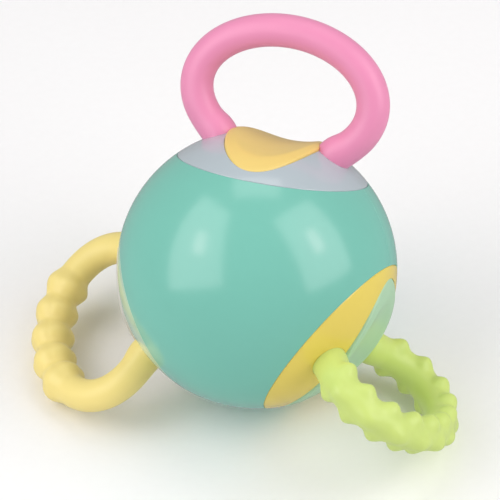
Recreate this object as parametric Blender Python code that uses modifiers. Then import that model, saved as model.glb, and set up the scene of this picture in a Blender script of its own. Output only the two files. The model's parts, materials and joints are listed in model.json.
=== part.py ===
# Ball teether: a hollow ball in two screwed halves, with three loop handles that spin in its sides.
# Metres, +Z up. The origin is on the floor, in the middle of the small foot that the ball stands on.

import math

import bmesh
import bpy
import numpy as np
from mathutils import Euler, Vector

MM = 0.001

# Gaps
FIT_GAP = 0.3 * MM  # between pieces that touch
CAP_GAP = 0.35 * MM  # round the rim of a cap, which turns
SEAM_GAP = 0.3 * MM  # between the two half shells
PAST_SEAM = math.radians(95.0)  # how far round each half is turned before it is trimmed

# Ball
BALL_RADIUS = 45.0 * MM
SHELL_WALL = 2.4 * MM
FOOT_RADIUS = 7.0 * MM  # round foot under the ball
FOOT_HEIGHT = 1.4 * MM  # at its edge, enough to keep the bumps of the loops off the floor
OPENING_RADIUS = 30.8 * MM  # round opening that a cap turns in
LEDGE_WIDTH = 5.0 * MM  # step inside the opening, under the rim of the cap
LEDGE_THICKNESS = 2.0 * MM

# How the ball lies on its foot, with two of its loops just off the floor
LEAN_BACK = math.radians(32.3)
ROLL = math.radians(-3.9)
TURN = math.radians(-22.7)

# Cap with its hub, and the retainer under it
CAP_EDGE = 2.4 * MM  # straight rim of a cap
HUB_FLOOR = 2.2 * MM  # under the ends of the legs
HUB_WALL = 1.5 * MM  # outside the legs
RETAINER_OVERLAP = 3.2 * MM  # reach under the ledge
RETAINER_THICKNESS = 2.0 * MM
RETAINER_BORE = 8.0 * MM

# Loop handle, measured to the middle of its tube
LOOP_HALF_WIDTH = 29.3 * MM
LOOP_HALF_HEIGHT = 20.4 * MM
LOOP_RISE = 11.7 * MM  # from the ball's surface to the middle of the loop
TUBE_RADIUS = 5.3 * MM
LEG_RADIUS = 5.9 * MM  # of a leg, thicker than the tube
LEG_LENGTH = 9.0 * MM  # of a leg, up to where it starts to thin
LEG_TAPER = 9.0 * MM  # length in which it thins to the tube
LEG_BEND = 8.0 * MM  # where a leg turns down into the cap
SMOOTH_END = 13.5 * MM  # least length without bumps, in the leg and its bend

# Saddle insert between the legs
INSERT_MARGIN = 3.05 * MM  # of the cap outside its two ends
INSERT_INSET = 2.6 * MM  # of its two sides, from the middle of the legs
INSERT_THICKNESS = 1.8 * MM
INSERT_CROWN = 58.0 * MM  # half axis of its flatter crown, from leg to leg
RIM_AT_ENDS = 6.0 * MM
RIM_AT_LEGS = 2.5 * MM
RIM_ROUND = 0.6 * MM
DISH_DEPTH = 3.3 * MM
POST_RADIUS = 2.2 * MM
POST_SPACING = 24.0 * MM
POST_LENGTH = 5.0 * MM

# Screws
SCREW_RADIUS = 1.5 * MM
SCREW_HEAD_RADIUS = 2.8 * MM
SCREW_HEAD_HEIGHT = 1.8 * MM
SCREW_BITE = 7.0 * MM  # length in the piece that it holds
CROSS_LENGTH = 3.0 * MM
CROSS_WIDTH = 0.8 * MM
CROSS_DEPTH = 0.9 * MM

# Bosses of the half shells
BOSS_INSET = 12.6 * MM  # from the shell's inner wall to a boss's axis
BOSS_WALL = 1.3 * MM
BOSS_SHOULDER = 6.0 * MM  # from the seam to a sunk screw head

# Rattle beads
BEAD_RADIUS = 3.0 * MM
BEADS_EACH_SIDE = 3

# Studs of the green handle and knobs of the yellow one
STUD_PITCH = 9.7 * MM
STUD_REACH = 4.6 * MM
STUD_HEIGHT = 2.3 * MM
STUD_LINES = 3  # on the outside of the loop and its two faces, none on the inside
STUD_LINE_TURN = math.radians(90.0)
STUD_BETWEEN = 0.65  # height of the line on the outside, against the other two
KNOB_ROWS = 5
KNOB_PITCH = 10.0 * MM
KNOB_REACH = 5.9 * MM
KNOB_HEIGHT = 2.05 * MM
KNOB_LINES = 5
KNOB_LINE_TURN = math.radians(72.0)

# Fineness of the round shapes: steps go round an axis, rows from the axis outwards
BALL_STEPS = 48
OUTER_ROWS = 11
INNER_ROWS = 7
CAP_ROWS = 5
BOSS_STEPS = 20
FOOT_STEPS = 24
LENS_STEPS = 40
RETAINER_STEPS = 40
SCREW_STEPS = 12
BEAD_STEPS = 12
BEAD_ROWS = 8
TUBE_STEPS = 20
PITCH_STATIONS = 6  # in the length of one pitch of the bumps
LEG_STATION = 2.0 * MM
LOOP_STATION = 4.4 * MM
BEND_POINTS = 40  # of a handle's middle line, in the bend of a leg
SIDE_POINTS = 400  # of the same line, from a bend to the middle of the loop
HALVINGS = 60  # of the range in which a leg's bend meets the loop
MERGE_DISTANCE = 0.001 * MM

# Heights along a cap's axis, from the middle of the ball
inner_radius = BALL_RADIUS - SHELL_WALL
ball_height = math.sqrt(BALL_RADIUS**2 - FOOT_RADIUS**2) + FOOT_HEIGHT
opening_level = math.sqrt(BALL_RADIUS**2 - OPENING_RADIUS**2)
cap_bottom = opening_level - CAP_EDGE
ledge_top = cap_bottom - FIT_GAP
ledge_bottom = ledge_top - LEDGE_THICKNESS
hub_bottom = ledge_bottom
socket_floor = hub_bottom + HUB_FLOOR
leg_end = socket_floor + FIT_GAP
retainer_top = hub_bottom - FIT_GAP
retainer_bottom = retainer_top - RETAINER_THICKNESS
loop_centre = BALL_RADIUS + LOOP_RISE

# Distances from a cap's axis
cap_radius = OPENING_RADIUS - CAP_GAP
ledge_bore = OPENING_RADIUS - LEDGE_WIDTH
hub_radius = ledge_bore - FIT_GAP
leg_offset = hub_radius - HUB_WALL - FIT_GAP - LEG_RADIUS
retainer_radius = ledge_bore + RETAINER_OVERLAP
insert_half_length = cap_radius - INSERT_MARGIN
insert_half_width = leg_offset - INSERT_INSET

# Bosses and screws
screw_hole = SCREW_RADIUS + FIT_GAP
boss_radius = SCREW_HEAD_RADIUS + FIT_GAP + BOSS_WALL
boss_distance = inner_radius - BOSS_INSET

# Each handle: its axis, turned from the first one in the seam plane, and its own spin about that axis
HANDLES = {
    "pink": {"axis": 0.0, "spin": 4.3},
    "green": {"axis": 120.0, "spin": 89.0},
    "yellow": {"axis": 240.0, "spin": 41.7},
}

# sRGB colour and roughness of each finish
FINISHES = {
    "teal": ((130, 203, 185), 0.18),
    "lavender": ((190, 198, 206), 0.3),
    "warm_yellow": ((231, 208, 107), 0.3),
    "mint": ((181, 214, 190), 0.3),
    "insert_yellow": ((250, 218, 125), 0.35),
    "insert_mint": ((176, 210, 170), 0.35),
    "insert_lavender": ((205, 205, 198), 0.35),
    "pink_rubber": ((239, 151, 188), 0.4),
    "green_rubber": ((208, 226, 131), 0.45),
    "yellow_rubber": ((238, 217, 135), 0.45),
    "inner_plastic": ((225, 225, 220), 0.5),
    "bead": ((240, 240, 236), 0.3),
    "steel": ((190, 190, 190), 0.35),
}
CAP_FINISH = {"pink": "lavender", "green": "warm_yellow", "yellow": "mint"}
INSERT_FINISH = {"pink": "insert_yellow", "green": "insert_mint", "yellow": "insert_lavender"}

for old in list(bpy.data.objects):
    bpy.data.objects.remove(old)

parts = bpy.data.collections.new("ball_teether")
tools = bpy.data.collections.new("cutters")
bpy.context.scene.collection.children.link(parts)
bpy.context.scene.collection.children.link(tools)


def linear(channel):
    value = channel / 255
    if value <= 0.04045:
        return value / 12.92
    return ((value + 0.055) / 1.055) ** 2.4


def make_finish(name):
    colour, roughness = FINISHES[name]
    finish = bpy.data.materials.new(name)
    finish.use_nodes = True
    shader = finish.node_tree.nodes["Principled BSDF"]
    shader.inputs["Base Color"].default_value = [linear(c) for c in colour] + [1.0]
    shader.inputs["Roughness"].default_value = roughness
    shader.inputs["Metallic"].default_value = 1.0 if name == "steel" else 0.0
    return finish


materials = {name: make_finish(name) for name in FINISHES}


def add_object(name, mesh, parent, finish=None, spin=0.0):
    # A piece has a finish; a tool for a Boolean has none and stays out of the renders.
    made = bpy.data.objects.new(name, mesh)
    made.parent = parent
    made.rotation_euler = (0.0, 0.0, spin)
    if finish:
        mesh.materials.append(materials[finish])
        parts.objects.link(made)
    else:
        made.hide_render = True
        made.display_type = "WIRE"
        tools.objects.link(made)
    return made


def mesh_from(name, form):
    mesh = bpy.data.meshes.new(name)
    form.to_mesh(mesh)
    form.free()
    mesh.shade_smooth()
    return mesh


def turned(name, profile, parent, finish=None, spin=0.0, steps=BALL_STEPS, closed=False):
    # A profile of (radius, height) points, down its outer side, swept round Z.
    form = bmesh.new()
    points = [form.verts.new((radius, 0.0, height)) for radius, height in profile]
    for first, second in zip(points, points[1:]):
        form.edges.new((first, second))
    if closed:
        form.edges.new((points[-1], points[0]))
    made = add_object(name, mesh_from(name, form), parent, finish, spin)
    screw = made.modifiers.new("turn", "SCREW")
    screw.steps = steps
    screw.render_steps = steps
    screw.use_merge_vertices = True
    screw.merge_threshold = MERGE_DISTANCE
    return made


def rod(name, radius, low, high, parent, at=(0.0, 0.0), spin=0.0, steps=SCREW_STEPS):
    # An upright round tool, placed off the axis of its parent.
    form = bmesh.new()
    bmesh.ops.create_cone(
        form, cap_ends=True, segments=steps, radius1=radius, radius2=radius, depth=high - low
    )
    bmesh.ops.translate(form, verts=form.verts, vec=(at[0], at[1], (high + low) / 2))
    return add_object(name, mesh_from(name, form), parent, spin=spin)


def block(name, low, high, parent, spin=0.0):
    form = bmesh.new()
    bmesh.ops.create_cube(form, size=1.0)
    low, high = Vector(low), Vector(high)
    bmesh.ops.scale(form, verts=form.verts, vec=high - low)
    bmesh.ops.translate(form, verts=form.verts, vec=(high + low) / 2)
    return add_object(name, mesh_from(name, form), parent, spin=spin)


def boolean(target, tool, operation):
    modifier = target.modifiers.new(f"{operation.lower()}_{tool.name}", "BOOLEAN")
    modifier.operation = operation
    modifier.solver = "EXACT"
    modifier.object = tool


def cut(target, *cutters):
    for tool in cutters:
        boolean(target, tool, "DIFFERENCE")


def join(target, *additions):
    for tool in additions:
        boolean(target, tool, "UNION")


def arc(radius, start, end, pieces):
    # Points of a circle about the middle of the ball, by their angle from the axis.
    angles = np.linspace(start, end, pieces + 1)
    return [(radius * math.sin(a), radius * math.cos(a)) for a in angles]


# The ball's frame: its Z is the first cap's axis, and its -Y side is the front
ball_frame = bpy.data.objects.new("ball_frame", None)
ball_frame.location = (0.0, 0.0, ball_height)
ball_frame.rotation_euler = (-LEAN_BACK, ROLL, TURN)
parts.objects.link(ball_frame)

# The seam's frame: its Z points out of the front
seam_frame = bpy.data.objects.new("seam_frame", None)
seam_frame.parent = ball_frame
seam_frame.rotation_euler = (math.pi / 2, 0.0, 0.0)
parts.objects.link(seam_frame)

axis_frames = {}
for colour, handle in HANDLES.items():
    frame = bpy.data.objects.new(f"{colour}_axis", None)
    frame.parent = ball_frame
    frame.rotation_euler = (0.0, math.radians(handle["axis"]), 0.0)
    parts.objects.link(frame)
    axis_frames[colour] = frame


def opening_tool(colour):
    # What a cap and its hub leave free in the shells.
    past = BALL_RADIUS + CAP_EDGE
    profile = [
        (0.0, past),
        (OPENING_RADIUS, past),
        (OPENING_RADIUS, ledge_top),
        (ledge_bore, ledge_top),
        (ledge_bore, retainer_bottom),
        (0.0, retainer_bottom),
    ]
    return turned(f"{colour}_opening", profile, axis_frames[colour])


def ledge_blank(colour):
    # A disc whose edge lies in the middle of the shell's wall. The opening trims its top.
    middle = (BALL_RADIUS + inner_radius) / 2
    levels = (ledge_top + FIT_GAP, ledge_bottom)
    edge = [(math.sqrt(middle**2 - level**2), level) for level in levels]
    profile = [(0.0, levels[0]), *edge, (0.0, levels[1])]
    return turned(f"{colour}_ledge", profile, axis_frames[colour], spin=math.pi / BALL_STEPS)


def boss_places():
    # Halfway between neighbouring caps.
    for angle in (30.0, 150.0, 270.0):
        turn = math.radians(angle)
        yield boss_distance * math.cos(turn), boss_distance * math.sin(turn)


def half_shell(name, side, openings, ledges):
    # side is 1 for the front half and -1 for the rear one, along the seam frame's Z.
    outer = arc(BALL_RADIUS, 0.0, PAST_SEAM, OUTER_ROWS)
    inner = arc(inner_radius, PAST_SEAM, 0.0, INNER_ROWS)
    profile = [(radius, side * height) for radius, height in outer + inner]
    shell = turned(name, profile[::side], seam_frame, "teal")
    join(shell, *ledges)
    boss_top = math.sqrt(inner_radius**2 - (boss_distance + boss_radius) ** 2)
    for number, place in enumerate(boss_places(), 1):
        ends = sorted((0.0, side * (boss_top + SHELL_WALL)))
        join(shell, rod(f"{name}_boss_{number}", boss_radius, *ends, seam_frame, place, steps=BOSS_STEPS))
    reach = 1.2 * BALL_RADIUS
    ends = sorted((side * SEAM_GAP / 2, -side * reach))
    cut(shell, block(f"{name}_trim", (-reach, -reach, ends[0]), (reach, reach, ends[1]), seam_frame))
    cut(shell, *openings)
    return shell


def make_ball():
    openings = [opening_tool(colour) for colour in HANDLES]
    ledges = [ledge_blank(colour) for colour in HANDLES]
    front = half_shell("front_shell", 1, openings, ledges)
    rear = half_shell("rear_shell", -1, openings, ledges)
    head_seat = -BOSS_SHOULDER
    for number, place in enumerate(boss_places(), 1):
        pilot = (-FIT_GAP, SCREW_BITE + FIT_GAP)
        cut(front, rod(f"front_pilot_{number}", screw_hole, *pilot, seam_frame, place))
        shank = (head_seat - FIT_GAP, FIT_GAP)
        cut(rear, rod(f"rear_shank_{number}", screw_hole, *shank, seam_frame, place))
        well = (-1.1 * BALL_RADIUS, head_seat)
        well_radius = SCREW_HEAD_RADIUS + FIT_GAP
        cut(rear, rod(f"rear_well_{number}", well_radius, *well, seam_frame, place, steps=BOSS_STEPS))
        length = BOSS_SHOULDER + FIT_GAP + SCREW_BITE
        make_screw(f"shell_screw_{number}", seam_frame, place, head_seat - FIT_GAP, length)
    join(rear, rod("foot", FOOT_RADIUS, 0.0, FOOT_HEIGHT + SHELL_WALL / 2, None, steps=FOOT_STEPS))


def make_screw(name, parent, at, head_top, length, spin=0.0):
    # A pan head with its shank pointing up, and a cross in the head.
    head_bottom = head_top - SCREW_HEAD_HEIGHT
    tip = head_top + length
    round_off = SCREW_HEAD_HEIGHT / 3
    profile = [
        (0.0, tip),
        (SCREW_RADIUS / 2, tip),
        (SCREW_RADIUS, tip - SCREW_RADIUS / 2),
        (SCREW_RADIUS, head_top),
        (SCREW_HEAD_RADIUS, head_top),
        (SCREW_HEAD_RADIUS, head_bottom + round_off),
        (SCREW_HEAD_RADIUS - round_off, head_bottom),
        (0.0, head_bottom),
    ]
    made = turned(name, profile, parent, "steel", spin, SCREW_STEPS)
    offset = Euler((0.0, 0.0, spin)).to_matrix() @ Vector((*at, 0.0))
    made.location = offset
    long, wide = CROSS_LENGTH / 2, CROSS_WIDTH / 2
    ends = (head_bottom - CROSS_DEPTH, head_bottom + CROSS_DEPTH)
    for arm, (x, y) in {"a": (long, wide), "b": (wide, long)}.items():
        slot = block(f"{name}_slot_{arm}", (-x, -y, ends[0]), (x, y, ends[1]), parent, spin)
        slot.location = offset
        cut(made, slot)


def crown(x, y):
    # Outer face of an insert: the ball's curve across the loop, and a flatter one from leg to leg.
    return math.sqrt(BALL_RADIUS**2 - y**2 - (x * BALL_RADIUS / INSERT_CROWN) ** 2)


def lens(name, rings, parent, spin, finish=None):
    # A sphere's rings moved onto ellipses: each is (half width, half length, height at a point).
    form = bmesh.new()
    bmesh.ops.create_uvsphere(form, u_segments=LENS_STEPS, v_segments=len(rings) - 1, radius=1.0)
    for vertex in form.verts:
        turn = math.atan2(vertex.co.y, vertex.co.x)
        number = round(math.acos(max(-1.0, min(1.0, vertex.co.z))) * (len(rings) - 1) / math.pi)
        half_width, half_length, height = rings[number]
        x, y = half_width * math.cos(turn), half_length * math.sin(turn)
        vertex.co = (x, y, height(x, y))
    return add_object(name, mesh_from(name, form), parent, finish, spin)


def outline_share(x, y):
    return (x / insert_half_width) ** 2 + (y / insert_half_length) ** 2


def underside(x, y):
    return crown(x, y) - INSERT_THICKNESS - DISH_DEPTH * (1 - outline_share(x, y))


def make_insert(colour, parent, spin, leg_room):
    dish_width = insert_half_width - RIM_AT_LEGS
    dish_length = insert_half_length - RIM_AT_ENDS

    def dish(x, y):
        return crown(x, y) - DISH_DEPTH * (1 - (x / dish_width) ** 2 - (y / dish_length) ** 2)

    def rounded(x, y):
        return crown(x, y) - RIM_ROUND

    rings = [(share * dish_width, share * dish_length, dish) for share in (0.0, 0.4, 0.75, 1.0)]
    rings.append((insert_half_width - RIM_ROUND, insert_half_length - RIM_ROUND, crown))
    rings.append((insert_half_width, insert_half_length, rounded))
    for share in (1.0, 0.6, 0.0):
        rings.append((share * insert_half_width, share * insert_half_length, underside))
    made = lens(f"{colour}_saddle_insert", rings, parent, spin, INSERT_FINISH[colour])
    for side in (1, -1):
        at = (0.0, side * POST_SPACING / 2)
        root = underside(*at)
        ends = (root - POST_LENGTH, root + INSERT_THICKNESS / 2)
        join(made, rod(f"{colour}_post_{side}", POST_RADIUS, *ends, parent, at, spin))
    cut(made, leg_room)


def make_cap(colour, parent, spin, leg_room):
    edge_angle = math.asin(cap_radius / BALL_RADIUS)
    profile = arc(BALL_RADIUS, 0.0, edge_angle, CAP_ROWS)
    profile += [
        (cap_radius, cap_bottom),
        (hub_radius, cap_bottom),
        (hub_radius, hub_bottom),
        (0.0, hub_bottom),
    ]
    made = turned(f"{colour}_cap", profile, parent, CAP_FINISH[colour], spin)

    def above(x, y):
        return crown(x, y) + INSERT_THICKNESS

    def below(x, y):
        return underside(x, y) - FIT_GAP

    room = (insert_half_width + FIT_GAP, insert_half_length + FIT_GAP)
    rings = [(share * room[0], share * room[1], above) for share in (0.0, 0.6, 1.0)]
    rings += [(share * room[0], share * room[1], below) for share in (1.0, 0.6, 0.0)]
    cut(made, lens(f"{colour}_pocket", rings, parent, spin), leg_room)
    for side in (1, -1):
        at = (0.0, side * POST_SPACING / 2)
        ends = (underside(*at) - POST_LENGTH - FIT_GAP, underside(*at) + FIT_GAP)
        cut(made, rod(f"{colour}_post_hole_{side}", POST_RADIUS + FIT_GAP, *ends, parent, at, spin))
        at = (side * leg_offset, 0.0)
        ends = (hub_bottom - FIT_GAP, socket_floor + FIT_GAP)
        cut(made, rod(f"{colour}_hub_hole_{side}", screw_hole, *ends, parent, at, spin))


def make_retainer(colour, parent, spin):
    profile = [
        (retainer_radius, retainer_top),
        (retainer_radius, retainer_bottom),
        (RETAINER_BORE, retainer_bottom),
        (RETAINER_BORE, retainer_top),
    ]
    name = f"{colour}_retainer"
    made = turned(name, profile, parent, "inner_plastic", spin, RETAINER_STEPS, closed=True)
    length = RETAINER_THICKNESS + HUB_FLOOR + 3 * FIT_GAP + SCREW_BITE
    for number, side in enumerate((1, -1), 1):
        at = (side * leg_offset, 0.0)
        ends = (retainer_bottom - FIT_GAP, retainer_top + FIT_GAP)
        cut(made, rod(f"{colour}_retainer_hole_{number}", screw_hole, *ends, parent, at, spin))
        name = f"{colour}_retainer_screw_{number}"
        make_screw(name, parent, at, retainer_bottom - FIT_GAP, length, spin)


def lean_at(angle):
    # How far the loop leans from upright at an angle below its middle.
    return math.atan2(LOOP_HALF_WIDTH * math.sin(angle), LOOP_HALF_HEIGHT * math.cos(angle))


def leg_join():
    # The angle below the loop's middle where the bend of a leg runs on into the loop.
    low, high = 0.0, math.pi / 2
    for _ in range(HALVINGS):
        angle = (low + high) / 2
        foot = LOOP_HALF_WIDTH * math.cos(angle) - LEG_BEND * (1 - math.cos(lean_at(angle)))
        if foot > leg_offset:
            low = angle
        else:
            high = angle
    return angle


def loop_path(end_level):
    # The middle line of a handle from one leg's end to the other's, as (x, z) points.
    angle = leg_join()
    lean = lean_at(angle)
    bend_level = loop_centre - LOOP_HALF_HEIGHT * math.sin(angle) - LEG_BEND * math.sin(lean)
    turns = np.linspace(0.0, lean, BEND_POINTS)
    bend = np.stack([leg_offset + LEG_BEND * (1 - np.cos(turns)), bend_level + LEG_BEND * np.sin(turns)], 1)
    sweep = np.linspace(-angle, math.pi / 2, SIDE_POINTS)[1:]
    side = np.stack([LOOP_HALF_WIDTH * np.cos(sweep), loop_centre + LOOP_HALF_HEIGHT * np.sin(sweep)], 1)
    half = np.vstack([[(leg_offset, end_level)], bend, side])
    return np.vstack([half, half[-2::-1] * (-1.0, 1.0)])


def lengths_along(path):
    steps = np.linalg.norm(np.diff(path, axis=0), axis=1)
    return np.concatenate([[0.0], np.cumsum(steps)])


def stations(total, zone, fine):
    # Distances along a handle: close together in its legs' bends and in the bumps' zone round its middle.
    fine_steps = math.ceil(zone / 2 / fine)
    start = total / 2 - fine_steps * fine
    marks = list(np.arange(0.0, SMOOTH_END, LEG_STATION))
    plain = max(1, round((start - SMOOTH_END) / LOOP_STATION))
    marks += list(np.linspace(SMOOTH_END, start, plain, endpoint=False))
    marks += [start + number * fine for number in range(fine_steps)]
    return np.array(marks + [total / 2] + [total - mark for mark in marks[::-1]])


def thickening(mark, total):
    # How much thicker a handle is than its tube, at a distance along it.
    share = (min(mark, total - mark) - LEG_LENGTH) / LEG_TAPER
    return (LEG_RADIUS - TUBE_RADIUS) * (1 + math.cos(math.pi * max(0.0, min(1.0, share)))) / 2


def tube(name, path, marks, room=0.0):
    # The handle along its middle line, as a closed mesh, or with room round it.
    along = lengths_along(path)
    radius = TUBE_RADIUS + room
    line = bpy.data.curves.new(name, "CURVE")
    line.dimensions = "3D"
    line.bevel_depth = radius
    line.bevel_resolution = TUBE_STEPS // 4 - 1
    line.use_fill_caps = True
    spline = line.splines.new("POLY")
    spline.points.add(len(marks) - 1)
    for point, mark in zip(spline.points, marks):
        x, z = (np.interp(mark, along, path[:, i]) for i in (0, 1))
        point.co = (x, 0.0, z, 1.0)
        point.radius = 1.0 + thickening(mark, along[-1]) / radius
    guide = bpy.data.objects.new(name, line)
    tools.objects.link(guide)
    bpy.context.view_layer.update()
    graph = bpy.context.evaluated_depsgraph_get()
    mesh = bpy.data.meshes.new_from_object(guide.evaluated_get(graph))
    bpy.data.objects.remove(guide)
    form = bmesh.new()
    form.from_mesh(mesh)
    bmesh.ops.remove_doubles(form, verts=form.verts, dist=MERGE_DISTANCE)
    bpy.data.meshes.remove(mesh)
    return mesh_from(name, form)


def raise_bumps(mesh, path, rows, pitch, reach, height, lines_around, line_turn, between=0.0):
    # Rounded bumps in lines along the tube, spread evenly about the middle of the handle. The middle line
    # is on the outside of the loop. Where the bumps of every other line lie halfway between the rest,
    # between is their height against those.
    along = lengths_along(path)
    tangents = np.gradient(path, along, axis=0)
    first = -(lines_around // 2)
    lines = []
    for line in range(first, first + lines_around):
        shifted = between > 0.0 and line % 2 == 0
        count = rows - 1 if shifted else rows
        places = along[-1] / 2 + (np.arange(count) - (count - 1) / 2) * pitch
        lines.append((line * line_turn, places, height * between if shifted else height))
    for vertex in mesh.vertices:
        flat = np.array((vertex.co.x, vertex.co.z))
        nearest = int(np.argmin(np.linalg.norm(path - flat, axis=1)))
        tangent = tangents[nearest] / np.linalg.norm(tangents[nearest])
        out = float(np.dot(flat - path[nearest], (tangent[1], -tangent[0])))
        turn = math.atan2(vertex.co.y, out)
        lift = 0.0
        for place_around, places, top in lines:
            off = (turn - place_around + math.pi) % (2 * math.pi) - math.pi
            distance = math.hypot(np.abs(along[nearest] - places).min(), TUBE_RADIUS * off)
            if distance < reach:
                lift = max(lift, top * math.cos(distance / reach * math.pi / 2) ** 2)
        middle = Vector((path[nearest][0], 0.0, path[nearest][1]))
        vertex.co += lift * (vertex.co - middle).normalized()


def make_handle(colour, parent, spin):
    path = loop_path(leg_end)
    total = lengths_along(path)[-1]
    name = f"{colour}_loop_handle"
    if colour == "green":
        fine = STUD_PITCH / PITCH_STATIONS
        rows = 2 * int((total / 2 - SMOOTH_END - STUD_REACH - fine) / STUD_PITCH) + 1
        marks = stations(total, (rows - 1) * STUD_PITCH + 2 * STUD_REACH, fine)
        mesh = tube(name, path, marks)
        stud = (STUD_PITCH, STUD_REACH, STUD_HEIGHT)
        raise_bumps(mesh, path, rows, *stud, STUD_LINES, STUD_LINE_TURN, STUD_BETWEEN)
    elif colour == "yellow":
        zone = (KNOB_ROWS - 1) * KNOB_PITCH + 2 * KNOB_REACH
        mesh = tube(name, path, stations(total, zone, KNOB_PITCH / PITCH_STATIONS))
        knob = (KNOB_PITCH, KNOB_REACH, KNOB_HEIGHT)
        raise_bumps(mesh, path, KNOB_ROWS, *knob, KNOB_LINES, KNOB_LINE_TURN)
    else:
        mesh = tube(name, path, stations(total, 0.0, LOOP_STATION))
    made = add_object(name, mesh, parent, f"{colour}_rubber", spin)
    for side in (1, -1):
        at = (side * leg_offset, 0.0)
        ends = (leg_end - FIT_GAP, leg_end + SCREW_BITE + FIT_GAP)
        cut(made, rod(f"{colour}_leg_pilot_{side}", screw_hole, *ends, parent, at, spin))


def make_leg_room(colour, parent, spin):
    path = loop_path(socket_floor)
    marks = stations(lengths_along(path)[-1], 0.0, LOOP_STATION)
    mesh = tube(f"{colour}_leg_room", path, marks, FIT_GAP)
    return add_object(f"{colour}_leg_room", mesh, parent, spin=spin)


def make_beads():
    # A row of beads on each side of the lowest boss, down the inside of the rear shell. They lie round its
    # lowest place, or as near to it as the retainers on both sides let them.
    across = boss_radius + BEAD_RADIUS + FIT_GAP
    ring = math.sqrt((inner_radius - FIT_GAP - BEAD_RADIUS) ** 2 - across**2)
    step = 2 * math.asin((BEAD_RADIUS + FIT_GAP / 2) / ring)
    tilt = math.pi / 3  # of the two lower caps' axes, from straight down in the seam plane
    room = retainer_bottom - BEAD_RADIUS - FIT_GAP - across * math.sin(tilt)
    nearest = math.acos(min(1.0, room / math.cos(tilt) / ring))
    first = max(LEAN_BACK - (BEADS_EACH_SIDE - 1) / 2 * step, nearest)
    for number in range(2 * BEADS_EACH_SIDE):
        side = 1 if number % 2 else -1
        turn = first + number // 2 * step
        form = bmesh.new()
        bmesh.ops.create_uvsphere(form, u_segments=BEAD_STEPS, v_segments=BEAD_ROWS, radius=BEAD_RADIUS)
        name = f"rattle_bead_{number + 1}"
        made = add_object(name, mesh_from(name, form), ball_frame, "bead")
        made.location = (side * across, ring * math.sin(turn), -ring * math.cos(turn))


make_ball()
for colour, handle in HANDLES.items():
    frame = axis_frames[colour]
    spin = math.radians(handle["spin"])
    leg_room = make_leg_room(colour, frame, spin)
    make_cap(colour, frame, spin, leg_room)
    make_insert(colour, frame, spin, leg_room)
    make_handle(colour, frame, spin)
    make_retainer(colour, frame, spin)
make_beads()
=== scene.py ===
# Looks of the ball teether: glossy shells, caps and inserts, soft loop handles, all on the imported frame
import json
import math

import bmesh
import bpy
import numpy as np
from mathutils import Matrix, Vector


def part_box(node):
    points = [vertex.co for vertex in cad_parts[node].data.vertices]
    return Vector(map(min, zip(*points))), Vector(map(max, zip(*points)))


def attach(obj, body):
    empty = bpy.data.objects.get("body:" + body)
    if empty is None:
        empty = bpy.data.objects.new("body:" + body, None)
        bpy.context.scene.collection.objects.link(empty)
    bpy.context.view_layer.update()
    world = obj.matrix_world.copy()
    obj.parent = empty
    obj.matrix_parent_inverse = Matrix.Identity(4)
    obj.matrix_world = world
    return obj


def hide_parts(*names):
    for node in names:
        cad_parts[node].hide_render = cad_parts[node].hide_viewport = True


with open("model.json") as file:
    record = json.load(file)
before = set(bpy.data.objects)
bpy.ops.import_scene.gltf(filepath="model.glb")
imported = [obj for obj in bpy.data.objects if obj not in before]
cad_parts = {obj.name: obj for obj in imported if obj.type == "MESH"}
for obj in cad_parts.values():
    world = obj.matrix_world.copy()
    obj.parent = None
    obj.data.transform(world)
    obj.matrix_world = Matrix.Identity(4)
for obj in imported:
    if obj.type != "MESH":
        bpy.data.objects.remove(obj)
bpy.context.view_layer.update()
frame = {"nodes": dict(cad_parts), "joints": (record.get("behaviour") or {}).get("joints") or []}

scene = bpy.context.scene
for startup in ("Cube", "Light", "Camera"):
    if startup in bpy.data.objects:
        bpy.data.objects.remove(bpy.data.objects[startup])

mm = 0.001
colours = ("pink", "green", "yellow")

# What the frame says: middle of the ball, axes of the caps, where the legs stand
joints = {joint["name"]: joint for joint in frame["joints"]}
ballCentre = Vector(joints["pink_handle_spin"]["pos_m"])
ballRadius = max((v.co - ballCentre).length for v in frame["nodes"]["front_shell"].data.vertices)
capAxes = {colour: Vector(joints[colour + "_handle_spin"]["axis"]).normalized() for colour in colours}
seamNormal = capAxes["green"].cross(capAxes["pink"]).normalized()  # out of the front half


def boxMiddle(node):
    low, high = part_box(node)
    return (low + high) / 2


def placeAt(origin, xWay, zWay):
    z = zWay.normalized()
    x = (xWay - xWay.dot(z) * z).normalized()
    return Matrix.Translation(origin) @ Matrix((x, z.cross(x), z)).transposed().to_4x4()


legVectors = {c: boxMiddle(c + "_retainer_screw_1") - boxMiddle(c + "_retainer_screw_2") for c in colours}
legOffset = legVectors["pink"].length / 2
moduleFrames = {c: placeAt(ballCentre, legVectors[c], capAxes[c]) for c in colours}
seamFrame = placeAt(ballCentre, capAxes["pink"], seamNormal)
print("frame read: ball radius", round(ballRadius / mm, 2), "mm, legs at", round(legOffset / mm, 2), "mm")

# Gaps that the pieces share; seamRoom keeps what joins a half shell off its seam face
gaps = {"fit": 0.3 * mm, "capRim": 0.1 * mm, "seam": 0.14 * mm, "seamRoom": 0.05 * mm, "snug": 0.08 * mm}

# How many sides round things have
sides = {
    "ball": 144, "opening": 128, "lens": 144, "tube": 60, "foot": 64, "well": 48, "screw": 48, "post": 32,
}


# Mesh tools

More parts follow.
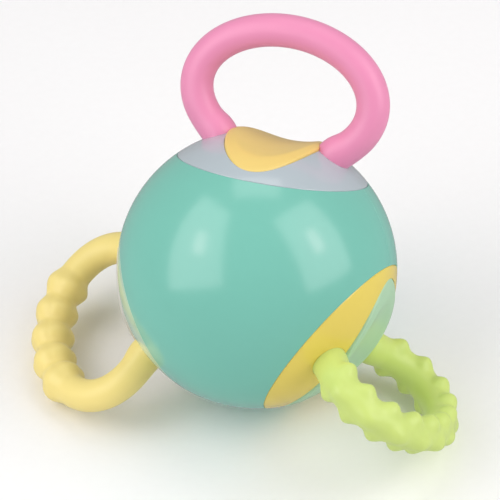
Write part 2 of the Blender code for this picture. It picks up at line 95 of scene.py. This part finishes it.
def skin(name, rows, place):
    # closed rings of points joined into one solid; a ring of a single point closes an end
    points, faces, starts = [], [], []
    for row in rows:
        starts.append(len(points))
        points.extend(row)
    for (a, rowA), (b, rowB) in zip(zip(starts, rows), zip(starts[1:], rows[1:])):
        steps = max(len(rowA), len(rowB))
        for i in range(steps):
            j = (i + 1) % steps
            if len(rowA) == 1:
                faces.append((a, b + j, b + i))
            elif len(rowB) == 1:
                faces.append((a + i, a + j, b))
            else:
                faces.append((a + i, a + j, b + j, b + i))
    flat = np.array(points, float)
    world = np.array(place)
    flat = flat @ world[:3, :3].T + world[:3, 3]
    mesh = bpy.data.meshes.new(name)
    mesh.from_pydata(flat.tolist(), [], faces)
    form = bmesh.new()
    form.from_mesh(mesh)
    bmesh.ops.recalc_face_normals(form, faces=form.faces)
    form.to_mesh(mesh)
    form.free()
    made = bpy.data.objects.new(name, mesh)
    scene.collection.objects.link(made)
    return made


def ring(radius, height, steps, at=(0, 0)):
    if radius == 0:
        return [(at[0], at[1], height)]
    turns = np.arange(steps) * 2 * math.pi / steps
    return [(at[0] + radius * math.cos(t), at[1] + radius * math.sin(t), height) for t in turns]


def turned(name, profile, place, steps, at=(0, 0)):
    return skin(name, [ring(r, z, steps, at) for r, z in profile], place)


def arc(radius, start, end, pieces):
    # about the middle of the ball, by the angle from the axis
    return [(radius * math.sin(t), radius * math.cos(t)) for t in np.linspace(start, end, pieces + 1)]


def fillet(before, corner, after, radius, pieces=5):
    # points of a small arc that rounds a corner of a profile
    corner = np.array(corner, float)
    back = np.array(before, float) - corner
    ahead = np.array(after, float) - corner
    back /= np.linalg.norm(back)
    ahead /= np.linalg.norm(ahead)
    half = math.acos(float(np.clip(back @ ahead, -1, 1))) / 2
    middleWay = (back + ahead) / np.linalg.norm(back + ahead)
    middle = corner + middleWay * radius / math.sin(half)
    first = corner + back * radius / math.tan(half) - middle
    last = corner + ahead * radius / math.tan(half) - middle
    sweep = math.acos(float(np.clip(first @ last, -radius**2, radius**2)) / radius**2)
    shares = np.linspace(0, 1, pieces + 1)
    weights = [(math.sin((1 - s) * sweep), math.sin(s * sweep)) for s in shares]
    return [tuple(middle + (a * first + b * last) / math.sin(sweep)) for a, b in weights]


def carve(target, tools, operation="DIFFERENCE"):
    for tool in tools:
        modifier = target.modifiers.new(tool.name, "BOOLEAN")
        modifier.operation = operation
        modifier.solver = "EXACT"
        modifier.object = tool
    graph = bpy.context.evaluated_depsgraph_get()
    mesh = bpy.data.meshes.new_from_object(target.evaluated_get(graph))
    target.modifiers.clear()
    target.data = mesh
    for tool in tools:
        bpy.data.objects.remove(tool)


def shade(target, sharp=32.0, ballFaces=False, within=0.03 * mm):
    # smooth, with true ball normals on the faces that lie on the ball
    mesh = target.data
    mesh.shade_smooth()
    mesh.set_sharp_from_angle(angle=math.radians(sharp))
    if not ballFaces:
        return
    away = [v.co - ballCentre for v in mesh.vertices]
    onBall = [abs(way.length - ballRadius) < within for way in away]
    normals = [(0, 0, 0)] * len(mesh.loops)
    for face in mesh.polygons:
        if all(onBall[v] for v in face.vertices):
            for corner, v in zip(face.loop_indices, face.vertices):
                normals[corner] = away[v].normalized()
    mesh.normals_split_custom_set(normals)


def settle(target, node, body, finish):
    target.data.materials.clear()
    target.data.materials.append(finish)
    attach(target, body)
    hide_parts(node)


# Shader maths

class Wire:
    # an output socket; plain operators on it add the nodes

    def __init__(self, socket):
        self.socket = socket

    def node(self, kind, settings, sockets, out=0):
        tree = self.socket.id_data
        made = tree.nodes.new(kind)
        for key, value in settings.items():
            setattr(made, key, value)
        for key, value in sockets.items():
            if isinstance(value, Wire):
                tree.links.new(value.socket, made.inputs[key])
            else:
                made.inputs[key].default_value = value
        return Wire(made.outputs[out])

    def combine(self, operation, first, second):
        # values only; colours go through between
        return self.node("ShaderNodeMath", {"operation": operation}, {0: first, 1: second})

    def __add__(self, other):
        return self.combine("ADD", self, other)

    def __radd__(self, other):
        return self.combine("ADD", other, self)

    def __mul__(self, other):
        return self.combine("MULTIPLY", self, other)

    def __rmul__(self, other):
        return self.combine("MULTIPLY", other, self)

    def between(self, low, high):
        # a colour between two, by this share
        return self.node("ShaderNodeMix", {"data_type": "RGBA"}, {0: self, 6: low, 7: high}, 2)


def linear(red, green, blue):
    # linear light from the usual values of 0 to 255
    values = [channel / 255 for channel in (red, green, blue)]
    return [v / 12.92 if v <= 0.04045 else ((v + 0.055) / 1.055) ** 2.4 for v in values] + [1.0]


def newFinish(name):
    material = bpy.data.materials.new(name)
    material.use_nodes = True
    tree = material.node_tree
    coords = Wire(tree.nodes.new("ShaderNodeTexCoord").outputs["Object"])
    return material, tree.nodes["Principled BSDF"], coords


def noise(coords, size, detail=2.0, rough=0.5):
    # size is the width of its spots, in metres
    sockets = {"Vector": coords, "Scale": 1 / size, "Detail": detail, "Roughness": rough}
    return coords.node("ShaderNodeTexNoise", {}, sockets)


def relieved(height, distance, strength):
    return height.node("ShaderNodeBump", {}, {"Strength": strength, "Distance": distance, "Height": height})


def feed(shader, key, wire):
    shader.id_data.links.new(wire.socket, shader.inputs[key])


# Moulded plastic: slight clouding of the pigment, faint flow in the skin, a few dull handling marks
plastic = {
    "cloudSize": 14 * mm, "speckSize": 2.4 * mm, "flowSize": 7 * mm, "grainSize": 2.0 * mm,
    "markSize": 9 * mm, "cloudShare": 0.6, "flowShare": 0.8, "tint": 0.965, "roughSpread": 0.5,
    "bump": 0.5, "ior": 1.5, "coatRoughness": 0.15,
}


def plasticFinish(name, colour, roughness=0.18, coat=0.4, relief=0.006 * mm):
    material, shader, coords = newFinish(name)
    base = linear(*colour)
    deep = [c * plastic["tint"] for c in base[:3]] + [1.0]
    clouds = noise(coords, plastic["cloudSize"], 3.0)
    specks = noise(coords, plastic["speckSize"], 0.0)
    blend = clouds * plastic["cloudShare"] + specks * (1 - plastic["cloudShare"])
    feed(shader, "Base Color", blend.between(deep, base))
    marks = noise(coords, plastic["markSize"], 2.0)
    spread = plastic["roughSpread"]
    feed(shader, "Roughness", marks * (roughness * spread) + roughness * (1 - spread / 2))
    skinFlow = noise(coords, plastic["flowSize"], 2.0)
    grain = noise(coords, plastic["grainSize"], 0.0)
    height = skinFlow * plastic["flowShare"] + grain * (1 - plastic["flowShare"])
    feed(shader, "Normal", relieved(height, relief, plastic["bump"]))
    shader.inputs["IOR"].default_value = plastic["ior"]
    shader.inputs["Coat Weight"].default_value = coat
    shader.inputs["Coat Roughness"].default_value = plastic["coatRoughness"]
    return material


# Soft rubber: satin skin with slight clouding, a fine even grain and small pores
rubber = {
    "cloudSize": 11 * mm, "grainSize": 0.28 * mm, "poreSize": 1.1 * mm, "cloudShare": 0.7, "grainShare": 0.6,
    "tint": 0.95, "roughSpread": 0.4, "bump": 0.6, "ior": 1.46, "sheen": 0.05,
}


def rubberFinish(name, colour, roughness, relief=0.02 * mm):
    material, shader, coords = newFinish(name)
    base = linear(*colour)
    deep = [c * rubber["tint"] for c in base[:3]] + [1.0]
    clouds = noise(coords, rubber["cloudSize"], 4.0, 0.6)
    grain = noise(coords, rubber["grainSize"], 2.0)
    pores = noise(coords, rubber["poreSize"], 3.0)
    blend = clouds * rubber["cloudShare"] + grain * (1 - rubber["cloudShare"])
    feed(shader, "Base Color", blend.between(deep, base))
    spread = rubber["roughSpread"]
    feed(shader, "Roughness", pores * (roughness * spread) + roughness * (1 - spread / 2))
    height = grain * rubber["grainShare"] + pores * (1 - rubber["grainShare"])
    feed(shader, "Normal", relieved(height, relief, rubber["bump"]))
    shader.inputs["IOR"].default_value = rubber["ior"]
    shader.inputs["Sheen Weight"].default_value = rubber["sheen"]
    return material


# Zinc-plated steel: a mottled plating with a very fine grain
steel = {
    "grainSize": 0.12 * mm, "plateSize": 0.8 * mm, "dark": (150, 152, 156), "light": (205, 206, 208),
    "roughness": 0.28, "roughSpread": 0.15, "relief": 0.01 * mm, "bump": 0.4,
}


def steelFinish(name):
    material, shader, coords = newFinish(name)
    plate = noise(coords, steel["plateSize"], 4.0, 0.6)
    grain = noise(coords, steel["grainSize"], 1.0)
    feed(shader, "Base Color", plate.between(linear(*steel["dark"]), linear(*steel["light"])))
    feed(shader, "Roughness", plate * steel["roughSpread"] + steel["roughness"])
    feed(shader, "Normal", relieved(grain, steel["relief"], steel["bump"]))
    shader.inputs["Metallic"].default_value = 1.0
    return material


finishes = {
    "teal": plasticFinish("tealGloss", (121, 196, 179), roughness=0.2, coat=0.3),
    "lavender": plasticFinish("lavenderGloss", (181, 194, 200)),
    "warmYellow": plasticFinish("warmYellowGloss", (238, 214, 99)),
    "mint": plasticFinish("mintGloss", (181, 214, 190)),
    "insertYellow": plasticFinish("insertYellow", (240, 211, 122), roughness=0.38, coat=0.1),
    "insertMint": plasticFinish("insertMint", (176, 215, 179), roughness=0.38, coat=0.1),
    "insertLavender": plasticFinish("insertLavender", (208, 206, 200), roughness=0.38, coat=0.1),
    "pinkRubber": rubberFinish("pinkRubber", (236, 147, 185), roughness=0.35),
    "greenRubber": rubberFinish("greenRubber", (209, 229, 127), roughness=0.36),
    "yellowRubber": rubberFinish("yellowRubber", (250, 229, 142), roughness=0.38),
    "innerPlastic": plasticFinish("innerPlastic", (225, 225, 220), roughness=0.4, coat=0.0, relief=0.02 * mm),
    "bead": plasticFinish("beadPlastic", (240, 240, 236), roughness=0.2, coat=0.0),
    "steel": steelFinish("screwSteel"),
}
print("finishes made:", len(finishes))

# The ball's two half shells, with the openings that the caps turn in
ball = {
    "wall": 2.4 * mm, "openingRadius": 30.8 * mm, "ledgeWidth": 5.0 * mm, "ledgeThickness": 2.0 * mm,
    "capEdge": 2.4 * mm, "lip": 0.14 * mm, "seamRound": 0.25 * mm,
    "bossInset": 12.6 * mm, "bossWall": 1.3 * mm, "bossShoulder": 6.0 * mm, "pilotDepth": 7.3 * mm,
    "footRadius": 7.0 * mm, "footRound": 0.3 * mm, "outerRows": 36, "innerRows": 18,
    "overrun": 3 * mm,  # how far a cutter runs past what it cuts
}
screw = {
    "radius": 1.5 * mm, "headRadius": 2.8 * mm, "headHeight": 1.8 * mm, "headRound": 0.7 * mm,
    "crossLength": 3.0 * mm, "crossWidth": 0.8 * mm, "crossDepth": 0.9 * mm, "bite": 7.0 * mm,
}
innerRadius = ballRadius - ball["wall"]
openingLevel = math.sqrt(ballRadius**2 - ball["openingRadius"] ** 2)
capBottom = openingLevel - ball["capEdge"]
ledgeTop = capBottom - gaps["fit"]
ledgeBottom = ledgeTop - ball["ledgeThickness"]
ledgeBore = ball["openingRadius"] - ball["ledgeWidth"]
screwHole = screw["radius"] + gaps["fit"]
bossDistance = innerRadius - ball["bossInset"]
bossRadius = screw["headRadius"] + gaps["fit"] + ball["bossWall"]


def openingCutter(colour):
    # the round opening with its softened lip, the step of the ledge and the bore inside it
    radius = ball["openingRadius"]
    slope = radius / openingLevel
    corner = (radius, openingLevel)
    outward = (radius + mm, openingLevel - slope * mm)
    lip = fillet((radius, ledgeTop), corner, outward, ball["lip"])[:-1]
    reach = np.array(lip[-1]) + (np.array(lip[-1]) - np.array(lip[-2])) * 4
    top = ballRadius + ball["overrun"]
    bottom = ledgeBottom - ball["overrun"]
    profile = [(0, bottom), (ledgeBore, bottom), (ledgeBore, ledgeTop)]
    profile += [(radius, ledgeTop), *lip, tuple(reach), (reach[0], top), (0, top)]
    return turned(colour + "Opening", profile, moduleFrames[colour], sides["opening"])


def ledgeBlank(colour, side):
    middle = (ballRadius + innerRadius) / 2
    levels = (ledgeTop + gaps["fit"], ledgeBottom)
    edge = [(math.sqrt(middle**2 - level**2), level) for level in levels]
    profile = [(0, levels[0]), *edge, (0, levels[1])]
    blank = turned(colour + "Ledge", profile, moduleFrames[colour], sides["opening"])
    carve(blank, [slab("ledgeTrim", side)])
    return blank


def slab(name, side):
    # everything on the other side of the seam
    reach = 1.2 * ballRadius
    heights = (side * (gaps["seam"] / 2 + gaps["seamRoom"]), -side * reach)
    rows = [[(0, 0, heights[0])], *[ring(2 * reach, z, 4) for z in heights], [(0, 0, heights[1])]]
    return skin(name, rows, seamFrame)


def bossPlaces():
    # halfway between neighbouring caps, so opposite the third one
    for colour in colours:
        way = seamFrame.to_3x3().inverted() @ -capAxes[colour]
        yield way.x * bossDistance, way.y * bossDistance


def post(name, radius, low, high, place, at, steps=sides["post"]):
    return turned(name, [(0, low), (radius, low), (radius, high), (0, high)], place, steps, at)


def halfShell(side):
    seam = gaps["seam"] / 2
    seamAngle = math.acos(seam / ballRadius)
    outer = arc(ballRadius, 0, seamAngle, ball["outerRows"])
    edge = fillet(outer[-2], outer[-1], (innerRadius, seam), ball["seamRound"])
    inner = arc(innerRadius, math.acos(seam / innerRadius), 0, ball["innerRows"])
    profile = [(r, side * z) for r, z in outer[:-1] + edge + inner]
    name = "frontShell" if side == 1 else "rearShell"
    shell = turned(name, profile, seamFrame, sides["ball"])
    carve(shell, [ledgeBlank(colour, side) for colour in colours], "UNION")
    bossTop = math.sqrt(innerRadius**2 - (bossDistance + bossRadius) ** 2) + ball["wall"]
    bossEnds = sorted((side * (seam + gaps["seamRoom"]), side * bossTop))
    places = list(bossPlaces())
    carve(shell, [post("boss", bossRadius, *bossEnds, seamFrame, at) for at in places], "UNION")
    cutters = [openingCutter(colour) for colour in colours]
    for at in places:
        if side == 1:
            cutters.append(post("pilot", screwHole, -gaps["fit"], ball["pilotDepth"], seamFrame, at))
        else:
            seat = -ball["bossShoulder"]
            wellRadius = screw["headRadius"] + gaps["fit"]
            cutters.append(post("shank", screwHole, seat - gaps["fit"], gaps["fit"], seamFrame, at))
            cutters.append(post("well", wellRadius, -1.1 * ballRadius, seat, seamFrame, at, sides["well"]))
    carve(shell, cutters)
    if side == -1:
        footTop = ballCentre.z - innerRadius - ball["wall"] / 2
        radius = ball["footRadius"]
        edge = fillet((0, 0), (radius, 0), (radius, footTop), ball["footRound"])
        profile = [(0, 0), *edge, (radius, footTop), (0, footTop)]
        carve(shell, [turned("foot", profile, Matrix.Identity(4), sides["foot"])], "UNION")
    shade(shell, ballFaces=True)
    settle(shell, name.replace("Shell", "_shell"), "ball", finishes["teal"])


def shellScrew(at):
    # pan head with a cross, sunk in a boss of the rear half
    headTop = -ball["bossShoulder"] - gaps["fit"]
    headBottom = headTop - screw["headHeight"]
    tip = screw["bite"]
    radius, head = screw["radius"], screw["headRadius"]
    pan = fillet((head, headTop), (head, headBottom), (0, headBottom), screw["headRound"])
    profile = [(0, tip), (radius / 2, tip), (radius, tip - radius / 2), (radius, headTop), (head, headTop)]
    solid = turned("shellScrew", [*profile, *pan, (0, headBottom)], seamFrame, sides["screw"], at)
    long, wide = screw["crossLength"] / 2, screw["crossWidth"] / 2
    slots = []
    for x, y in ((long, wide), (wide, long)):
        corners = [(at[0] + a * x, at[1] + b * y) for a, b in ((-1, -1), (1, -1), (1, 1), (-1, 1))]
        levels = (headBottom - screw["crossDepth"], headBottom + screw["crossDepth"])
        ends = [[(*corner, level) for corner in corners] for level in levels]
        slots.append(skin("slot", [[(*at, levels[0])], *ends, [(*at, levels[1])]], seamFrame))
    carve(solid, slots)
    shade(solid)
    middle = seamFrame @ Vector((*at, 0))
    names = ["shell_screw_" + number for number in "123"]
    node = min(names, key=lambda name: (boxMiddle(name) - middle).length)
    settle(solid, node, "ball", finishes["steel"])


for side in (1, -1):
    halfShell(side)
for at in bossPlaces():
    shellScrew(at)
print("half shells and their screws done")

# Loop handles: one smooth, one with studs all along, one with knobs round its middle
loop = {
    "halfWidth": 29.3 * mm, "halfHeight": 20.4 * mm, "rise": 11.7 * mm, "tube": 5.3 * mm, "bend": 8.0 * mm,
    "leg": 5.9 * mm, "legLength": 9.0 * mm, "legTaper": 9.0 * mm,
    "smoothEnd": 13.5 * mm, "hubFloor": 2.2 * mm, "pilotDepth": 7.3 * mm,
    "station": 0.75 * mm, "bendPoints": 60, "sidePoints": 600,
}
bumps = {
    "pink": None,
    "green": {"pitch": 9.7 * mm, "reach": 4.6 * mm, "height": 2.3 * mm, "rows": None,
              "linesAround": 3, "lineTurn": math.radians(90), "between": 0.65, "across": 1.0},
    "yellow": {"pitch": 10.0 * mm, "reach": 5.9 * mm, "height": 2.05 * mm, "rows": 5,
               "linesAround": 5, "lineTurn": math.radians(72), "between": 0.0, "across": 0.6},
}
loopCentre = ballRadius + loop["rise"]
socketFloor = ledgeBottom + loop["hubFloor"]
legEnd = socketFloor + gaps["fit"]


def leanAt(angle):
    return math.atan2(loop["halfWidth"] * math.sin(angle), loop["halfHeight"] * math.cos(angle))


def legJoin():
    # angle below the loop's middle where a leg's bend runs on into it
    low, high = 0.0, math.pi / 2
    for _ in range(60):
        angle = (low + high) / 2
        foot = loop["halfWidth"] * math.cos(angle) - loop["bend"] * (1 - math.cos(leanAt(angle)))
        low, high = (angle, high) if foot > legOffset else (low, angle)
    return angle


def loopPath(endLevel):
    # middle line from one leg's end to the other's, as (x, z) points
    angle = legJoin()
    lean = leanAt(angle)
    bendLevel = loopCentre - loop["halfHeight"] * math.sin(angle) - loop["bend"] * math.sin(lean)
    turns = np.linspace(0, lean, loop["bendPoints"])
    bendX = legOffset + loop["bend"] * (1 - np.cos(turns))
    bend = np.stack([bendX, bendLevel + loop["bend"] * np.sin(turns)], 1)
    sweep = np.linspace(-angle, math.pi / 2, loop["sidePoints"])[1:]
    side = np.stack([loop["halfWidth"] * np.cos(sweep), loopCentre + loop["halfHeight"] * np.sin(sweep)], 1)
    half = np.vstack([[(legOffset, endLevel)], bend, side])
    return np.vstack([half, half[-2::-1] * (-1.0, 1.0)])


def tubeRows(endLevel, room=0.0, bump=None):
    # rings across the tube, with its bumps, and their middles
    path = loopPath(endLevel)
    along = np.concatenate([[0], np.cumsum(np.linalg.norm(np.diff(path, axis=0), axis=1))])
    total = along[-1]
    marks = np.linspace(0, total, round(total / loop["station"]) + 1)
    middles = np.stack([np.interp(marks, along, path[:, i]) for i in (0, 1)], 1)
    ways = np.gradient(middles, axis=0)
    ways /= np.linalg.norm(ways, axis=1)[:, None]
    turns = np.arange(sides["tube"]) * 2 * math.pi / sides["tube"]
    lift = bumpLift(total, **bump) if bump else None
    rows = []
    for mark, middle, way in zip(marks, middles, ways):
        share = np.clip((min(mark, total - mark) - loop["legLength"]) / loop["legTaper"], 0, 1)
        out = loop["tube"] + room + (loop["leg"] - loop["tube"]) * (1 + math.cos(math.pi * share)) / 2
        if lift:
            out = out + lift(mark - total / 2, turns)
        x = middle[0] + way[1] * out * np.cos(turns)
        z = middle[1] - way[0] * out * np.cos(turns)
        rows.append(np.stack([x, out * np.sin(turns), z], 1))
    return rows, middles


def bumpLift(total, pitch, reach, height, rows, linesAround, lineTurn, between, across):
    # how far the tube stands out, as a function of the place along it and the turns round it: rounded bumps
    # in lines, the middle line on the outside of the loop; across under 1 makes them broader round the tube
    if not rows:
        rows = 2 * int((total / 2 - loop["smoothEnd"] - reach) / pitch) + 1
    lines = []
    for line in range(-(linesAround // 2), linesAround - linesAround // 2):
        shifted = between > 0 and line % 2 == 0  # these lie halfway between the rest
        count = rows - 1 if shifted else rows
        places = (np.arange(count) - (count - 1) / 2) * pitch
        lines.append((line * lineTurn, places, height * between if shifted else height))

    def lift(place, turns):
        result = np.zeros(len(turns))
        for placeAround, places, top in lines:
            off = (turns - placeAround + math.pi) % (2 * math.pi) - math.pi
            distance = np.hypot(np.abs(place - places).min(), loop["tube"] * off * across)
            result = np.maximum(result, top * np.cos(np.minimum(distance / reach, 1) * math.pi / 2) ** 2)
        return result

    return lift


def legCutter(name, colour):
    rows, middles = tubeRows(socketFloor, gaps["snug"])
    ends = [[(m[0], 0, m[1])] for m in (middles[0], middles[-1])]
    return skin(name, [ends[0], *rows, ends[1]], moduleFrames[colour])


def makeHandle(colour):
    rows, middles = tubeRows(legEnd, bump=bumps[colour])
    ends = []
    for middle, row in ((middles[0], rows[0]), (middles[-1], rows[-1])):
        # flat end with the hole for its screw
        spokes = row - (middle[0], 0, middle[1])
        bore = spokes * screwHole / loop["leg"] + (middle[0], 0, middle[1])
        deep = bore + (0, 0, loop["pilotDepth"])
        ends.append([bore, deep, [(middle[0], 0, middle[1] + loop["pilotDepth"])]])
    solid = skin(colour + "LoopHandle", [*ends[0][::-1], *rows, *ends[1]], moduleFrames[colour])
    shade(solid, sharp=50.0)
    settle(solid, colour + "_loop_handle", colour + "_module", finishes[colour + "Rubber"])


# Saddle inserts: a lens between the legs, with a broad rim and a shallow dish
insert = {
    "margin": 3.05 * mm, "inset": 2.6 * mm, "thickness": 1.8 * mm, "crown": 58.0 * mm,
    "rimAtEnds": 6.0 * mm, "rimAtLegs": 2.5 * mm, "rimRound": 0.6 * mm, "dishDepth": 3.3 * mm,
    "dishSoft": 0.12, "postRadius": 2.2 * mm, "postSpacing": 24.0 * mm, "postLength": 5.0 * mm,
    "dishRows": 40, "rimRows": 6, "undersideRows": 12,
}
capRadius = ball["openingRadius"] - gaps["capRim"]
hubRadius = ledgeBore - gaps["fit"]
lensLength = capRadius - insert["margin"]
lensWidth = legOffset - insert["inset"]


def crown(x, y):
    return math.sqrt(ballRadius**2 - y**2 - (x * ballRadius / insert["crown"]) ** 2)


def underside(x, y):
    share = (x / lensWidth) ** 2 + (y / lensLength) ** 2
    return crown(x, y) - insert["thickness"] - insert["dishDepth"] * (1 - share)


def dish(x, y):
    # a shallow bowl that runs softly out into the rim
    share = (x / (lensWidth - insert["rimAtLegs"])) ** 2 + (y / (lensLength - insert["rimAtEnds"])) ** 2
    soft = insert["dishSoft"]
    depth = 1 - share
    if depth < soft:
        depth = (max(depth + soft, 0)) ** 2 / (4 * soft)
    return crown(x, y) - insert["dishDepth"] * depth


def lensRing(share, height, inset=0.0):
    width, length = share * (lensWidth - inset), share * (lensLength - inset)
    if share == 0:
        return [(0, 0, height(0, 0))]
    turns = np.arange(sides["lens"]) * 2 * math.pi / sides["lens"]
    points = [(width * math.cos(t), length * math.sin(t)) for t in turns]
    return [(x, y, height(x, y)) for x, y in points]


def makeInsert(colour, finish):
    rimRound = insert["rimRound"]
    rows = [lensRing(share, dish, rimRound) for share in np.linspace(0, 1, insert["dishRows"])]
    for turn in np.linspace(0, math.pi / 2, insert["rimRows"])[1:]:
        drop = rimRound * (1 - math.cos(turn))
        rows.append(lensRing(1, lambda x, y: dish(x, y) - drop, rimRound * (1 - math.sin(turn))))
    rows += [lensRing(share, underside) for share in np.linspace(1, 0, insert["undersideRows"])]
    solid = skin(colour + "SaddleInsert", rows, moduleFrames[colour])
    posts = []
    for side in (1, -1):
        at = (0, side * insert["postSpacing"] / 2)
        root = underside(*at)
        ends = (root - insert["postLength"], root + insert["thickness"] / 2)
        posts.append(post("post", insert["postRadius"], *ends, moduleFrames[colour], at))
    carve(solid, posts, "UNION")
    carve(solid, [legCutter("legRoom", colour)])
    shade(solid)
    settle(solid, colour + "_saddle_insert", colour + "_module", finish)


# Caps: a dome that fills the opening, with a pocket for the insert and sockets for the legs
cap = {
    "rimRound": 0.5 * mm, "pocketSoft": 0.25 * mm, "pocketSoftStart": 0.35,
    "domeRows": 24, "pocketTopRows": 6, "pocketEdgeRows": 5, "pocketFloorRows": 10,
}


def makeCap(colour, finish):
    edgeAngle = math.asin(capRadius / ballRadius)
    dome = arc(ballRadius, 0, edgeAngle, cap["domeRows"])
    rim = fillet(dome[-2], dome[-1], (capRadius, capBottom), cap["rimRound"])
    profile = [*dome[:-1], *rim, (capRadius, capBottom), (hubRadius, capBottom)]
    profile += [(hubRadius, ledgeBottom), (0, ledgeBottom)]
    solid = turned(colour + "Cap", profile, moduleFrames[colour], sides["ball"])
    room = gaps["fit"]
    soft = cap["pocketSoft"]

    def above(x, y):
        return crown(x, y) + 2 * insert["thickness"]

    def below(x, y):
        return underside(x, y) - room

    def onDome(x, y):
        return math.sqrt(max(ballRadius**2 - x * x - y * y, 0))

    snug = gaps["snug"]
    tops = np.linspace(0, 1, cap["pocketTopRows"])
    rows = [lensRing(share, above, -snug - 3 * soft) for share in tops]
    for turn in np.linspace(cap["pocketSoftStart"], math.pi / 2, cap["pocketEdgeRows"]):
        drop = soft * (1 - math.cos(turn))
        rows.append(lensRing(1, lambda x, y: onDome(x, y) - drop, -snug - soft * (1 - math.sin(turn))))
    rows += [lensRing(share, below, -snug) for share in np.linspace(1, 0, cap["pocketFloorRows"])]
    cutters = [skin("pocket", rows, moduleFrames[colour]), legCutter("legSocket", colour)]
    for side in (1, -1):
        at = (0, side * insert["postSpacing"] / 2)
        root = underside(*at)
        ends = (root - insert["postLength"] - room, root + room)
        cutters.append(post("postHole", insert["postRadius"] + room, *ends, moduleFrames[colour], at))
        at = (side * legOffset, 0)
        ends = (ledgeBottom - room, socketFloor + room)
        cutters.append(post("screwHole", screwHole, *ends, moduleFrames[colour], at))
    carve(solid, cutters)
    shade(solid, ballFaces=True)
    settle(solid, colour + "_cap", colour + "_module", finish)


modules = {
    "pink": {"cap": ("lavender_gloss", "lavender"), "insert": ("insert_yellow", "insertYellow")},
    "green": {"cap": ("warm_yellow_gloss", "warmYellow"), "insert": ("insert_mint", "insertMint")},
    "yellow": {"cap": ("mint_gloss", "mint"), "insert": ("insert_lavender", "insertLavender")},
}
for colour, looks in modules.items():
    slotName, finish = looks["cap"]
    makeCap(colour, finishes[finish])
    slotName, finish = looks["insert"]
    makeInsert(colour, finishes[finish])
    makeHandle(colour)
    print(colour, "module done")

# What stays as it is inside: retainers, screws and beads get their finishes
for name, node in frame["nodes"].items():
    if "retainer_screw" in name:
        kept = finishes["steel"]
    elif "retainer" in name:
        kept = finishes["innerPlastic"]
    elif "bead" in name:
        kept = finishes["bead"]
    else:
        continue
    node.data.materials.clear()
    node.data.materials.append(kept)
print("inner pieces finished")

# Floor, world, lights and camera
studio = {
    "floorSize": 6.0, "floorDrop": 0.05 * mm, "paperSize": 3 * mm, "paperDark": (248, 248, 248),
    "paperLight": (252, 252, 252), "paperRoughness": 0.8, "paperSpread": 0.1, "world": 0.37,
    "lights": {
        "left": {"at": (-0.53, -0.12, 0.615), "across": (-0.4, 0.72, -0.57), "along": (0.04, 0.44, 0.9),
                 "size": (0.62, 1.1), "glow": 2.05},
        "right": {"at": (0.59, -0.14, 0.55), "across": (0.665, 0.73, -0.15), "along": (-0.3, 0.51, 0.81),
                  "size": (0.67, 0.95), "glow": 2.05},
        "leftCore": {"at": (-0.56, -0.2, 0.54), "across": (-0.4, 0.72, -0.57), "along": (0.04, 0.44, 0.9),
                     "size": (0.14, 0.24), "glow": 3.2, "tint": (1.0, 0.7, 0.75)},
        "rightCore": {"at": (0.57, -0.17, 0.53), "across": (0.665, 0.73, -0.15), "along": (-0.3, 0.51, 0.81),
                      "size": (0.14, 0.24), "glow": 3.2, "tint": (1.0, 0.7, 0.75)},
        "top": {"at": (0.0, 0.29, 0.76), "across": (1, 0, 0), "along": (0, 0.93, -0.35),
                "size": (0.45, 0.27), "glow": 1.7},
    },
}
view = {"lookDown": 42.5, "focalPixels": 3087.8, "framePixels": 500, "sensor": 36.0,
        "ballPlace": (0.04916, -0.13181, -21.99955)}


def makeFloor():
    half = studio["floorSize"] / 2
    mesh = bpy.data.meshes.new("floor")
    corners = [(-half, -half), (half, -half), (half, half), (-half, half)]
    mesh.from_pydata([(x, y, -studio["floorDrop"]) for x, y in corners], [], [(0, 1, 2, 3)])
    floor = bpy.data.objects.new("floor", mesh)
    scene.collection.objects.link(floor)
    material, shader, coords = newFinish("palePaper")
    paper = noise(coords, studio["paperSize"], 4.0)
    feed(shader, "Base Color", paper.between(linear(*studio["paperDark"]), linear(*studio["paperLight"])))
    feed(shader, "Roughness", paper * studio["paperSpread"] + studio["paperRoughness"])
    mesh.materials.append(material)
    floor.visible_glossy = False  # keeps its glare off the underside of the ball


def makeLight(name, looks):
    data = bpy.data.lights.new(name + "Softbox", "AREA")
    data.shape = "RECTANGLE"
    data.size, data.size_y = looks["size"]
    # glow is how bright its face looks, whatever its size
    data.energy = looks["glow"] * math.pi * data.size * data.size_y
    data.color = looks.get("tint", (1, 1, 1))
    light = bpy.data.objects.new(name + "Softbox", data)
    scene.collection.objects.link(light)
    across, at = Vector(looks["across"]), Vector(looks["at"])
    away = across.cross(Vector(looks["along"]))
    if away.dot(at) < 0:
        away = -away
    light.matrix_world = placeAt(ballCentre + at, across, away)
    light.visible_camera = False


def makeCamera():
    look = math.radians(view["lookDown"])
    right = Vector((1, 0, 0))
    up = Vector((0, math.sin(look), math.cos(look)))
    back = Vector((0, -math.cos(look), math.sin(look)))
    a, b, c = view["ballPlace"]
    data = bpy.data.cameras.new("photoCamera")
    data.sensor_width = view["sensor"]
    data.lens = view["focalPixels"] * view["sensor"] / view["framePixels"]
    camera = bpy.data.objects.new("photoCamera", data)
    scene.collection.objects.link(camera)
    camera.matrix_world = placeAt(ballCentre - ballRadius * (a * right + b * up + c * back), right, back)
    scene.camera = camera


makeFloor()
for name, looks in studio["lights"].items():
    makeLight(name, looks)
makeCamera()
world = bpy.data.worlds.new("studioWhite")
world.use_nodes = True
world.node_tree.nodes["Background"].inputs["Color"].default_value = (1, 1, 1, 1)
world.node_tree.nodes["Background"].inputs["Strength"].default_value = studio["world"]
scene.world = world
scene.view_settings.view_transform = "Standard"
print("studio set")
